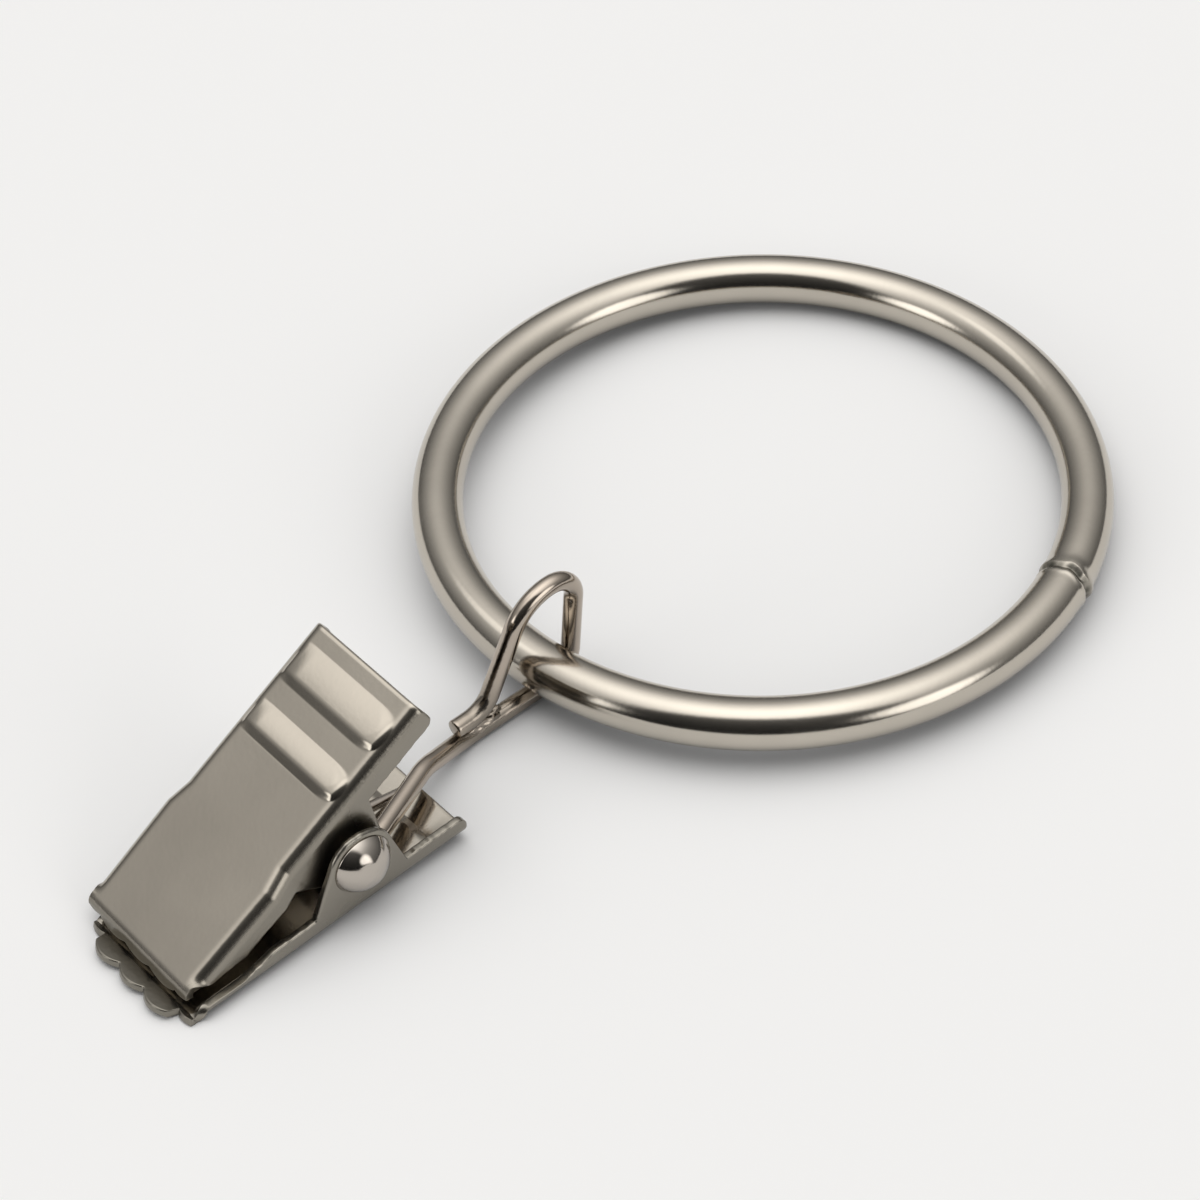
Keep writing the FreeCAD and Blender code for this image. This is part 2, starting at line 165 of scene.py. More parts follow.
# %% Weld of the ring
COLLAR_HEIGHT, COLLAR_PLACE, COLLAR_STEEP, COLLAR_GENTLE = 0.13, 0.42, 0.17, 0.55
GROOVE_DEPTH, GROOVE_WIDTH = 0.14, 0.17
GROOVE_LIP_HEIGHT, GROOVE_LIP_PLACE, GROOVE_LIP_WIDTH = 0.05, -0.36, 0.2
SCORCH_PLACE, SCORCH_WIDTH = 0.1, 0.34
RAGGED_WAVES = ((0.06, 3, 0.5), (0.04, 7, 1.9), (0.015, 17, 0.0), (0.015, 9, 0.0))
UNEVEN_WAVES = ((0.2, 2, 0.6), (0.15, 5, 2.0))


def bell(distance, width):
    """Bell curve: 1 at no distance, and e to the power of minus the square of distance over width."""
    return np.exp(-((distance / width) ** 2))


def waves(place, table):
    """Sum of sine waves; a row of the table gives a wave's size, its pace and where it starts."""
    return sum(size * np.sin(pace * place + start) for size, pace, start in table)


def ring_weld(from_seam, round_wire):
    """How much the wire swells at a distance from the seam, and how far the weld has scorched it."""
    place = from_seam + waves(round_wire, RAGGED_WAVES)
    collar_width = np.where(place > COLLAR_PLACE, COLLAR_GENTLE, COLLAR_STEEP)
    swell = COLLAR_HEIGHT * bell(place - COLLAR_PLACE, collar_width)
    swell = swell - GROOVE_DEPTH * bell(place, GROOVE_WIDTH)
    swell = swell + GROOVE_LIP_HEIGHT * bell(place - GROOVE_LIP_PLACE, GROOVE_LIP_WIDTH)
    patches = 0.75 + 0.25 * np.sin(5 * round_wire + 0.4) * np.sin(11 * round_wire)
    scorch = bell(place - SCORCH_PLACE, SCORCH_WIDTH) * patches
    return swell * (0.8 + waves(round_wire, UNEVEN_WAVES)), scorch


# %% [markdown]
# ## The ring
#
# Blender's own torus would do for a plain ring, but its rows are evenly spaced, and too coarse for the weld.
# Here the ring is a function of two angles, one round the ring and one round its wire, and the rows of
# points stand closer together about the seam. The ring lies on the hanger's wire, so it is tilted a little.

# %% Ring
RING_RADIUS = 20.65
RING_TILT = 1.78134
SEAM_ANGLE = 291.0
SEAM_SPAN = 4.0
SEAM_MARGIN = 1.02


def ring_rows(coarse=700, close=140):
    """Angles round the ring in degrees, evenly spread, and closer together about the seam."""
    even = np.linspace(0.0, 360.0, coarse, endpoint=False)
    beside = np.abs((even - SEAM_ANGLE + 180.0) % 360.0 - 180.0) > SEAM_SPAN * SEAM_MARGIN
    return np.sort(np.concatenate([even[beside], SEAM_ANGLE + np.linspace(-SEAM_SPAN, SEAM_SPAN, close)]))


def swung(x, z, degrees):
    """Places turned about the cross direction: x cos - z sin along the part, x sin + z cos upwards."""
    angle = math.radians(degrees)
    return x * math.cos(angle) - z * math.sin(angle), x * math.sin(angle) + z * math.cos(angle)


def ring_points(columns=112):
    """Torus with a wire that swells at the seam, then tilted; also the mark of its weld.

    The distance from the axis is the ring's radius plus the wire's times the cosine of the wire's angle.
    """
    turn = np.radians(ring_rows())[:, None]
    round_wire = np.linspace(0.0, 2 * math.pi, columns, endpoint=False)[None, :]
    from_seam = (turn - math.radians(SEAM_ANGLE) + math.pi) % (2 * math.pi) - math.pi
    swell, mark = ring_weld(from_seam * RING_RADIUS, round_wire)
    wire = RING_WIRE / 2 + swell
    reach = RING_RADIUS + wire * np.cos(round_wire)
    x, z = swung(reach * np.cos(turn), wire * np.sin(round_wire), -RING_TILT)
    return np.stack([x, reach * np.sin(turn), z], axis=-1) + RING_CENTRE, mark


ring_grid, ring_mark = ring_points()
ring = add_piece("ring", ring_grid, tube_faces(ring_grid, caps=False), "curtain_ring", "ring", ring_mark)


# %% [markdown]
# ## Wires
#
# The hanger and the spring are bent wire. A Blender curve with a round bevel could make them, but its twist
# and its cut ends are hard to control. Here a wire is a circle carried along a path. The circle's own axes
# come from the path's direction and from the clip's cross direction, which no wire here runs along. The last
# rows at each end get smaller, so that the cut edge is slightly rounded.

# %% Wire along a path
def travelled(points):
    """Distance gone at each point of a line of points: the sum of the steps up to it."""
    return np.concatenate([[0.0], np.cumsum(np.linalg.norm(np.diff(points, axis=0), axis=1))])


def along(points, step):
    """Points at even steps along a line of points."""
    gone = travelled(points)
    places = np.linspace(0.0, gone[-1], int(gone[-1] / step) + 1)
    return np.stack([np.interp(places, gone, points[:, k]) for k in range(3)], axis=-1)


def wire_points(path, radius, columns=40):
    """Circle carried along a path, with its first and last rows drawn in to round the cut edge.

    A point is the path's own, plus the radius times the cosine of its angle along the cross direction and
    the sine along the third direction, which is square to the path and to the cross direction.
    """
    ahead = np.gradient(path, axis=0)
    ahead /= np.linalg.norm(ahead, axis=1, keepdims=True)
    cross = np.array([0.0, 1.0, 0.0]) - ahead * ahead[:, 1:2]
    cross /= np.linalg.norm(cross, axis=1, keepdims=True)
    third = np.cross(ahead, cross)
    gone = travelled(path)
    keep = (gone > 2 * EDGE_ROUND) & (gone < gone[-1] - 2 * EDGE_ROUND)
    ends = len(EDGE_INSETS)
    start = path[0] + ahead[0] * EDGE_INSETS[:, None]
    end = path[-1] - ahead[-1] * EDGE_INSETS[::-1, None]
    centres = np.vstack([start, path[keep], end])
    sides, thirds = [
        np.vstack([np.repeat(axis[:1], ends, 0), axis[keep], np.repeat(axis[-1:], ends, 0)])
        for axis in (cross, third)]
    radii = np.concatenate([radius - EDGE_INSETS[::-1], np.full(keep.sum(), radius), radius - EDGE_INSETS])
    angle = np.linspace(0.0, 2 * math.pi, columns, endpoint=False)[None, :, None]
    rim = sides[:, None] * np.cos(angle) + thirds[:, None] * np.sin(angle)
    return centres[:, None] + rim * radii[:, None, None]


def corner_run(points, radii, samples=40):
    """Straight runs with a round arc at each inner point, as one line of points.

    An arc's centre lies on the line that halves the corner, at the radius over the cosine of half its turn.
    """
    line = [points[0][None]]
    for before, corner, after, radius in zip(points, points[1:], points[2:], radii):
        back = (before - corner) / np.linalg.norm(before - corner)
        ahead = (after - corner) / np.linalg.norm(after - corner)
        half_turn = (math.pi - math.acos(float(np.clip(back @ ahead, -1, 1)))) / 2
        way = (back + ahead) / np.linalg.norm(back + ahead)
        centre = corner + way * (radius / math.cos(half_turn))
        swing = np.linspace(-half_turn, half_turn, samples)[:, None]
        side = (ahead - back) / np.linalg.norm(ahead - back)
        line.append(centre - way * radius * np.cos(swing) + side * radius * np.sin(swing))
    line.append(points[-1][None])
    return np.vstack(line)


# %% [markdown]
# ## The hanger
#
# One wire makes the small eye round the rivet, the stem between the handles and the tall eye round the
# ring, and its cut end lies on the stem. It could be drawn as one free curve. A wire bender makes straight
# runs and round bends, though, so the path is a list of corners with a bend radius at each. The weld at the
# cut end has heated the wire, and a mark that fades with the distance from it tells the material where.

# %% Hanger
HANGER_WIRE = 1.2
HANGER_STEP = 0.09
UPPER_NEAR_EAR = 4.9
RING_CROSSING = -5.56447
FOOT_BEFORE_RING = 6.0
SMALL_EYE = {"clearance": 0.1, "turn": 268.0}
STEM = {"start": 2.6, "bend": (-3.9, -1.3, 1.55)}
TALL_EYE = {"height": 9.1, "clearance": 0.12, "lean": 1.15, "width": 4.0}
CUT_END = {"clearance": 0.06, "from": 1.7, "to": -0.6}
BEND_RADII = (4.0, 4.0, 4.0, 2.1, 1.75, 3.4, 2.1)
WELD_PLACE = np.array([-10.15, PIN[1] - 0.04, 1.3])
HEAT_REACH = 2.2


def hanger_path():
    """Arc round the rivet, then straight runs with rounded corners to the cut end."""
    wire = HANGER_WIRE / 2
    gap = SMALL_EYE["clearance"]
    middle = PIN - np.array([0.0, UPPER_NEAR_EAR - SHEET - gap - wire, 0.0])
    angle = np.radians(np.linspace(-90.0 - SMALL_EYE["turn"], -90.0, 90))
    circle = np.stack([np.cos(angle), 0 * angle, np.sin(angle)], axis=-1)
    eye = middle + (PIN_RADIUS + gap + wire) * circle
    foot = np.array([RING_CROSSING - FOOT_BEFORE_RING, PIN[1], wire])
    inner = RING_CROSSING + RING_WIRE / 2 + wire + TALL_EYE["clearance"]
    top = np.array([inner + TALL_EYE["lean"], PIN[1], TALL_EYE["height"] - wire])
    on_stem = HANGER_WIRE + CUT_END["clearance"]
    corners = [
        eye[-1],
        eye[-1] + np.array([STEM["start"], 0.0, 0.0]),
        foot + np.array(STEM["bend"]),
        foot,
        np.array([inner, PIN[1], wire]),
        top,
        top - np.array([TALL_EYE["width"], 0.0, 0.0]),
        foot + np.array([CUT_END["from"], 0.0, on_stem]),
        foot + np.array([CUT_END["to"], 0.0, on_stem]),
    ]
    return along(np.vstack([eye[:-1], corner_run(corners, BEND_RADII)]), HANGER_STEP)


hanger_grid = wire_points(hanger_path(), HANGER_WIRE / 2)
heat_mark = bell(np.linalg.norm(hanger_grid - WELD_PLACE, axis=-1), HEAT_REACH)
hanger = add_piece(
    "hanger", hanger_grid, tube_faces(hanger_grid, caps=True), "hanger_wire", "hanger", heat_mark)


# %% [markdown]
# ## The hanger's weld
#
# The cut end is tacked to the stem by a small weld, a drop of metal that froze as it ran. It could be
# sculpted, but a formula gives the same lumps on each run. It is a ball drawn out along the wire, and its
# radius changes by a sum of a few waves of its two angles.

# %% Weld of the hanger
WELD_SIZE = np.array([1.35, 0.6, 0.5])
WELD_POLE = 0.03
WELD_MARK = 0.5


def weld_points(rows=48, columns=72):
    """Lumpy ball: a sphere's two angles, stretched along the wire, with waves added to its radius."""
    rise = np.linspace(WELD_POLE, math.pi - WELD_POLE, rows)[:, None]
    turn = np.linspace(0.0, 2 * math.pi, columns, endpoint=False)[None, :]
    lumps = 1.0 + 0.10 * np.sin(3 * turn + 4 * rise) + 0.07 * np.sin(5 * turn - 6 * rise + 1.0)
    lumps = lumps + 0.05 * np.sin(9 * turn + 7 * rise) * np.sin(rise)
    round_stem = [np.sin(rise) * np.cos(turn), np.sin(rise) * np.sin(turn)]
    ball = np.stack([np.cos(rise) + 0 * turn, *round_stem], axis=-1)
    return WELD_PLACE + ball * lumps[..., None] * WELD_SIZE


weld_grid = weld_points()
weld = add_piece("weld", weld_grid, tube_faces(weld_grid, caps=True), "hanger_wire", "hanger", WELD_MARK)


# %% [markdown]
# ## The spring
#
# A coil of spring wire round the rivet holds the nose shut, with one leg inside each handle, in the hollow of
# its ridges. The Screw modifier could make the coil, but not its legs, so the whole path is worked out: a
# leg, a helix and the other leg, where each leg is a line that touches the coil's circle.

# %% Spring
SPRING_WIRE = 0.7
SPRING_STEP = 0.06
FULL_TURNS = 5
COIL_PITCH = 0.8
COIL_CLEARANCE = 0.2
LOWER_FAR_EAR = 4.3
SIDE_GAP = 0.3
LEG_GAP = 0.06
LEG_HOLLOW = 0.38
LOWER_LEG, UPPER_LEG = 6.8, 7.4


def touch(outside, radius, side):
    """Angle at which a line from a point outside touches a circle about the origin.

    It is the point's own angle, plus or minus the angle whose cosine is the radius over its distance.
    """
    return math.atan2(outside[1], outside[0]) + side * math.acos(radius / math.hypot(*outside))


def spring_path():
    """Straight leg, helix and straight leg round the rivet's axis, and the coil's two ends across."""
    coil = PIN_RADIUS + COIL_CLEARANCE + SPRING_WIRE / 2
    depth = SHEET - LEG_HOLLOW + LEG_GAP + SPRING_WIRE / 2
    low = swung(LOWER_LEG, depth - LOWER["pin"][1], REST_TILT)
    high = swung(UPPER_LEG, UPPER["pin"][1] - depth, PLATE_ANGLE)
    first, last = touch(low, coil, -1), touch(high, coil, 1)
    turns = FULL_TURNS + ((first - last) / (2 * math.pi)) % 1.0
    span = COIL_PITCH * turns
    share = np.linspace(0.0, 1.0, 700)
    angle = first - 2 * math.pi * turns * share
    helix = np.stack([coil * np.cos(angle), span * share, coil * np.sin(angle)], axis=-1)
    path = np.vstack([[[low[0], 0.0, low[1]]], helix, [[high[0], span, high[1]]]])
    far = LOWER_FAR_EAR - SHEET - SIDE_GAP - SPRING_WIRE / 2
    return along(path + PIN + np.array([0.0, far - span, 0.0]), SPRING_STEP), far - span, far


spring_line, spring_near, spring_far = spring_path()
spring_grid = wire_points(spring_line, SPRING_WIRE / 2, columns=28)
spring = add_piece("spring", spring_grid, tube_faces(spring_grid, caps=True), "torsion_spring", None)
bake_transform(spring)


# %% [markdown]
# ## The rivet
#
# A rivet goes through all four ears. It has a domed head on the near side and is hammered shut into a
# smaller head on the far side. A ball and a cylinder could be joined, but a profile turned about the axis
# is one closed surface. Waves of its two parameters leave the heads slightly uneven.

# %% Rivet
NEAR_HEAD = {"radius": 1.95, "height": 1.3}
FAR_HEAD = {"radius": 1.45, "height": 0.55}
NEAR_HEAD_PLACE, FAR_HEAD_PLACE = -5.9, 4.95
DENT_DEPTH = 0.018
DOME_POLE = 0.012


def dome(radius, height, samples=24):
    """Distance from the axis and height of a circle's segment, from its rim to its top.

    The circle's radius is the sum of the squares of radius and height, over twice the height.
    """
    ball = (radius ** 2 + height ** 2) / (2 * height)
    angle = np.linspace(math.asin(min(1.0, radius / ball)), DOME_POLE, samples)
    return np.stack([ball * np.sin(angle), ball * np.cos(angle) - ball + height], axis=-1)


def rivet_points(columns=96):
    """Profile of distance and place along the axis, turned through a full circle."""
    near, far = dome(**NEAR_HEAD)[::-1], dome(**FAR_HEAD)
    shank = np.array([[PIN_RADIUS, NEAR_HEAD_PLACE], [PIN_RADIUS, FAR_HEAD_PLACE]])
    near = np.stack([near[:, 0], NEAR_HEAD_PLACE - near[:, 1]], axis=-1)
    far = np.stack([far[:, 0], FAR_HEAD_PLACE + far[:, 1]], axis=-1)
    profile = np.vstack([near, shank, far])
    reach, place = profile[:, 0:1], profile[:, 1:2]
    angle = np.linspace(0.0, 2 * math.pi, columns, endpoint=False)[None, :]
    dents = np.sin(3 * angle + 2.6 * reach) + 0.6 * np.sin(5 * angle - 4.0 * reach + 1.0)
    between = np.sin(math.pi * np.clip(reach / NEAR_HEAD["radius"], 0.0, 1.0))
    place = place + DENT_DEPTH * dents * between
    return PIN + np.stack([reach * np.cos(angle), place, reach * np.sin(angle)], axis=-1)


rivet_grid = rivet_points()
rivet = add_piece("rivet", rivet_grid, tube_faces(rivet_grid, caps=True), "pivot_rivet", "lower_clip")


# %% [markdown]
# ## The jaws' outlines
#
# A real jaw is one thin sheet: cut out, folded up along both sides, ridged for the fingers, and bent down to
# a toothed lip. A flat mesh with a Solidify modifier could follow it, but round folds, ridges and teeth are
# easier to say as formulas. The sheet's middle surface has two parameters: how far along the jaw, from the
# lip to the tail, and how far across, from one flange's edge over the plate to the other's.
#
# First come the outlines: how tall the flanges are, how far the ridges stand out and how long the teeth are.
# The ears are simply the places where the flanges are tall, and small waves leave a burr on the edge.

# %% Flanges and ears
EAR_RADIUS = 2.25
NOSE_FLANGE = 0.85
NOSE_START = -9.0
NOSE_TAPER = 2.6
TAIL_ROUND = 0.7
BURR = 0.014
BURR_WAVES = ((1.0, 2.3, 0.0), (1.0, 5.9, 1.0), (0.6, 11.3, 2.0))


def flange_height(jaw, along_jaw):
    """Height of a flange above the plate's outside: low nose, taper, flange, ear and rounded tail.

    The ear is a circle about the pin, and lines from its two feet on the flange touch it.
    """
    pin, flange = np.array(jaw["pin"]), jaw["flange"]
    front = np.array([pin[0] - jaw["ear"][0], flange])
    back = np.array([pin[0] + jaw["ear"][1], flange])
    start = touch(front - pin, EAR_RADIUS, -1) % (2 * math.pi)
    end = touch(back - pin, EAR_RADIUS, 1) % (2 * math.pi)
    angle = np.linspace(start, end, 60)
    ear = pin + EAR_RADIUS * np.stack([np.cos(angle), np.sin(angle)], axis=-1)
    taper_end = jaw["nose_run"] + NOSE_TAPER
    nose = [(NOSE_START, NOSE_FLANGE), (jaw["nose_run"], NOSE_FLANGE), (taper_end, flange)]
    bow = np.linspace(0.0, math.pi / 2, 12)
    tail_middle = np.array([jaw["length"] - TAIL_ROUND, flange - TAIL_ROUND])
    tail = tail_middle + TAIL_ROUND * np.stack([np.sin(bow), np.cos(bow)], axis=-1)
    outline = np.vstack([nose, front, ear, back, tail])
    return np.interp(along_jaw, outline[:, 0], outline[:, 1]) + BURR * waves(along_jaw, BURR_WAVES)


# %% Ridges and teeth
RIDGE_LENGTHS = (3.6, 4.6)
RIDGE_CREST = 0.24
RIDGE_RISE = 0.58
RIDGE_FALL = 0.58
RIDGE_SLOPE = 0.35
RIDGE_CAP = 0.3
RIDGE_NEAR_END, RIDGE_NEAR_FADE = 1.3, 0.4
RIDGE_FAR_END, RIDGE_FAR_FADE = 1.25, 0.5
TOOTH_PITCH = 2.4
TOOTH_DEPTH = 0.5
TOOTH_INSET = 0.3
OUTER_TOOTH = 2


def smooth_step(value):
    """Share from 0 to 1 with a soft start and end: three times its square less twice its cube."""
    share = np.clip(value, 0.0, 1.0)
    return share * share * (3.0 - 2.0 * share)


def ridge_height(jaw, along_jaw, q):
    """How far the ridges stand out: a steep rise, a bow that falls ever faster, and a flat run.

    Across the plate each ridge fades out slowly on one side and ends in a round cap on the other.
    """
    height = np.zeros_like(along_jaw)
    start = jaw["flat"]
    for length in RIDGE_LENGTHS:
        place = along_jaw - start
        bow = RIDGE_FALL * length
        rise = np.clip(place / RIDGE_RISE, 0.0, 1.0)
        fallen = np.clip((place - RIDGE_RISE) / (bow - RIDGE_RISE), 0.0, 1.0)
        fall = 1.0 - RIDGE_SLOPE * fallen - (1.0 - RIDGE_SLOPE) * fallen ** 2
        cap = RIDGE_CAP * (2.0 * np.clip(place / bow, 0.0, 1.0) - 1.0) ** 2
        near_end = smooth_step((RIDGE_NEAR_END - cap - q) / RIDGE_NEAR_FADE)
        far_end = smooth_step((RIDGE_FAR_END + q) / RIDGE_FAR_FADE)
        height += RIDGE_CREST * rise * np.where(place < length, fall, 0.0) * near_end * far_end
        start += length
    return height


def lip_length(jaw, across):
    """Length of the lip at each place across: five rounded teeth, the outer two set back.

    A tooth is a parabola: its crest less its depth times the square of the share of its half width.
    """
    half = jaw["stations"][0][1] - TOOTH_INSET
    gap = (OUTER_TOOTH - 0.5) * TOOTH_PITCH
    tooth = np.clip(np.round(across / TOOTH_PITCH), -OUTER_TOOTH, OUTER_TOOTH)
    outer = np.abs(tooth) == OUTER_TOOTH
    middle = np.where(outer, np.sign(tooth) * (half + gap) / 2, tooth * TOOTH_PITCH)
    reach = np.where(outer, (half - gap) / 2, TOOTH_PITCH / 2)
    crest = jaw["lip"] - np.where(outer, jaw["step"], 0.0)
    depth = np.minimum(TOOTH_DEPTH, crest / 2)
    return crest - depth * np.clip((across - middle) / reach, -1, 1) ** 2


# %% [markdown]
# ## The jaws' surface
#
# The section across a jaw is flat, then folds up by a right angle. A press can't fold the sheet sharply, so
# each fold is an arc, and it opens out towards the lip, which is flat. A bevel on a box could look alike,
# but here one formula also carries the ears, the taper and the burr. The columns across are spread over
# three zones, plate, fold and flange. The rows along go over the plate and on round the nose's bend.

# %% Section and middle surface
FOLD_RADIUS = 0.9
FOLD_LEAD, FOLD_CLOSING = 0.1, 1.0
OPEN_FOLD = 0.59
LEAST_BEND, LEAST_FLANGE = 1e-3, 0.03
NOSE_BEND_RADIUS = 0.8
ROW_STEP = 0.085
RIM_COLUMNS = 3 - np.array([0.0, 0.035, 0.12])
LIP_ROWS = np.concatenate([[1.0, 0.985, 0.95], np.linspace(0.9, 0.04, 26)])


def sheet_columns(plate=64, fold=14, flange=26):
    """Places across the sheet from -3 to 3: plate up to 1, fold up to 2, flange up to 3."""
    side = np.concatenate([RIM_COLUMNS, np.linspace(2.8, 2.0, flange), np.linspace(2.0, 1.0, fold + 1)[1:]])
    return np.concatenate([-side, np.linspace(-1.0, 1.0, plate + 1)[1:-1], side[::-1]])


def section(jaw, along_jaw, q):
    """Across and inward places of the middle surface; q runs over flange, fold, plate, fold, flange.

    A fold's arc adds its sine across and one minus its cosine inward, each over its curvature.
    """
    half = np.interp(along_jaw, *np.array(jaw["stations"]).T)
    closed = smooth_step((along_jaw + FOLD_LEAD) / FOLD_CLOSING)
    bend = np.maximum(math.pi / 2 * closed, LEAST_BEND)
    fold_run = (FOLD_RADIUS - SHEET / 2) * math.pi / 2 * (OPEN_FOLD + (1.0 - OPEN_FOLD) * closed)
    flange_run = np.maximum((flange_height(jaw, along_jaw) - FOLD_RADIUS) * closed, LEAST_FLANGE)
    place = np.abs(q)
    plate = np.clip(place, 0, 1) * (half - FOLD_RADIUS)
    turn = np.clip(place - 1, 0, 1) * bend
    rise = np.clip(place - 2, 0, 1) * flange_run
    across = plate + fold_run * np.sin(turn) / bend + rise * np.cos(bend)
    inward = fold_run * (1 - np.cos(turn)) / bend + rise * np.sin(bend)
    return np.sign(q) * across, inward


def jaw_points(jaw, q):
    """Middle surface of a jaw, and how far along it each point is, which is negative on the lip.

    The lip goes round the nose's bend on an arc, and then straight on to its teeth.
    """
    bend, radius = math.radians(jaw["bend"]), NOSE_BEND_RADIUS - SHEET / 2
    plate_rows = np.concatenate([
        np.arange(0.0, jaw["length"] - 2 * EDGE_ROUND, ROW_STEP), jaw["length"] - EDGE_INSETS[::-1]])
    lip_across = section(jaw, np.zeros((1, 1)), q)[0]
    lip_run = radius * bend + lip_length(jaw, lip_across)
    place = np.vstack([-LIP_ROWS[:, None] * lip_run, np.repeat(plate_rows[:, None], q.size, 1)])
    across, inward = section(jaw, np.maximum(place, 0.0), q)
    across, inward = np.where(place < 0, lip_across, across), np.where(place < 0, 0.0, inward)
    swing = np.clip(-place / radius, 0.0, bend)
    beyond = np.maximum(-place - radius * bend, 0.0)
    x = np.maximum(place, 0.0) - radius * np.sin(swing) - beyond * np.cos(swing)
    z = NOSE_BEND_RADIUS - radius * np.cos(swing) + beyond * np.sin(swing) + inward
    return np.stack([x, across, z], axis=-1), place


# %% [markdown]
# ## The jaws
#
# The sheet's two faces lie half its thickness either side of the middle surface, and a narrow wall joins
# them. Near every edge three close rows or columns draw the faces together, which rounds the cut edge. The
# Solidify and Bevel modifiers could do this, but the bevel would also catch the ridges.
#
# The upper jaw is turned over, so that both plates face outwards. The lower jaw sits a little to the near
# side, so its near ear passes outside the upper jaw's near ear, and its far ear inside the far one. A mark
# tells the material where the sheet is duller: on the folded sides and on the lip. There the mark also
# darkens the colour, as painted shade.

# %% Jaws
JAW_STAGGER = 0.8
# How strongly the flanks and the lip are dulled and darkened; the darkening is painted shade.
FLANK_START, FLANK_FADE, FLANK_DULL_AND_SHADE = 1.15, 0.6, 0.6
LIP_FADE, LIP_DULL_AND_SHADE = 0.4, 0.8
LEAST_NORMAL = 1e-12


def inward_normals(points):
    """Unit normals of a grid of points, from its differences along rows and columns, on the jaw's inside."""
    normals = np.cross(np.gradient(points, axis=0), np.gradient(points, axis=1))
    normals /= np.maximum(np.linalg.norm(normals, axis=-1, keepdims=True), LEAST_NORMAL)
    rows, columns = normals.shape[:2]
    return normals * np.sign(normals[rows // 2, columns // 2, 2])


def edge_drop(count):
    """How far the sheet's two faces draw together in each of many rows: only in the first and last few."""
    drop = np.zeros(count)
    drop[:len(EDGE_INSETS)], drop[-len(EDGE_INSETS):] = EDGE_INSETS[::-1], EDGE_INSETS
    return drop


def jaw_faces(rows, columns):
    """Quads of both faces of a sheet and of the narrow wall round its edge."""
    outer = np.arange(rows * columns).reshape(rows, columns)
    inner = outer + rows * columns
    rim = np.concatenate([outer[0, :-1], outer[:-1, -1], outer[-1, :0:-1], outer[:0:-1, 0]])
    rim = np.append(rim, rim[0])
    wall = np.stack([rim, rim + rows * columns])
    return np.vstack([quads(outer), quads(inner)[:, ::-1], quads(wall)[:, ::-1]]).tolist()


def add_jaw(name, jaw, node, body, turned_over, angle, side):
    """Middle surface, ridges and both faces of a jaw, then set on the rivet at its angle."""
    q = sheet_columns()[None, :]
    middle, place = jaw_points(jaw, q)
    middle = middle - inward_normals(middle) * ridge_height(jaw, place, q)[..., None]
    rows, columns = place.shape
    drop = np.maximum(edge_drop(rows)[:, None], edge_drop(columns)[None, :])
    to_face = inward_normals(middle) * (SHEET / 2 - drop)[..., None]
    points = np.stack([middle - to_face, middle + to_face]) - np.array([jaw["pin"][0], 0.0, jaw["pin"][1]])
    if turned_over:
        points = points * np.array([1.0, -1.0, -1.0])
    x, z = swung(points[..., 0], points[..., 2], angle)
    points = np.stack([x, points[..., 1] + side, z], axis=-1) + PIN
    # Mark of the flanks and the lip: duller sheet, and a darker colour that is painted shade.
    flank = smooth_step((np.abs(q) - FLANK_START) / FLANK_FADE)
    mark = np.maximum(FLANK_DULL_AND_SHADE * flank, LIP_DULL_AND_SHADE * smooth_step(-place / LIP_FADE))
    return add_piece(name, points, jaw_faces(rows, columns), node, body, np.stack([mark, mark]))


lower_jaw = add_jaw("lower_jaw_sheet", LOWER, "lower_jaw", "lower_clip", False, REST_TILT, -JAW_STAGGER)
upper_jaw = add_jaw("upper_jaw_sheet", UPPER, "upper_jaw", "upper_clip", True, PLATE_ANGLE, 0.0)


# %% [markdown]
# ## Polished nickel
#
# Nickel plate is a warm grey mirror. A plain metal shader is too perfect for it: the real plate has a slow
# change of tint and a fine grain, and it has weld stains and is rougher where it was welded, and rougher
# where it was folded. The same dark colour also darkens the jaws' folded sides and lip, as painted shade.
# These faults and this shade could be painted on an image for each piece. One node group on the object's
# own coordinates needs no image, has no seams and serves every piece, and each material gives it its own
# values.

# %% Node helpers
def joined(tree, operation, *values):
    """Math node of two or three values; a number is set on its socket, and a socket is linked to it."""
    node = tree.nodes.new("ShaderNodeMath")
    node.operation = operation
    for socket, value in zip(node.inputs, values):
        if isinstance(value, float):
            socket.default_value = value
        else:
            tree.links.new(value, socket)
    return node.outputs[0]


def noise(tree, place, scale, detail):
    """Noise of a place, mostly between 0.3 and 0.7; the scale is in waves per metre."""
    node = tree.nodes.new("ShaderNodeTexNoise")
    node.inputs["Scale"].default_value = scale
    node.inputs["Detail"].default_value = detail
    tree.links.new(place, node.inputs["Vector"])
    return node.outputs["Fac"]


def remapped(tree, value, span, onto, kind="LINEAR"):
    """A value's place in one span, carried over to another span and held at its ends."""
    node = tree.nodes.new("ShaderNodeMapRange")
    node.interpolation_type = kind
    for socket, number in zip(("From Min", "From Max", "To Min", "To Max"), (*span, *onto)):
        node.inputs[socket].default_value = number
    tree.links.new(value, node.inputs["Value"])
    return node.outputs["Result"]


# %% Node group for worn polish and painted shade
TINT_SCALE, GRAIN_SCALE = 160.0, 3200.0
TINT_SHADES = (0.93, 1.03)
# Dark colour of real weld stain, also used as painted shade on the jaws' flanks and lip.
STAIN_AND_SHADE_COLOUR = (0.09, 0.087, 0.072, 1.0)
UNEVEN_POLISH = 0.1
STAIN_AND_SHADE_ROUGHNESS = 0.25


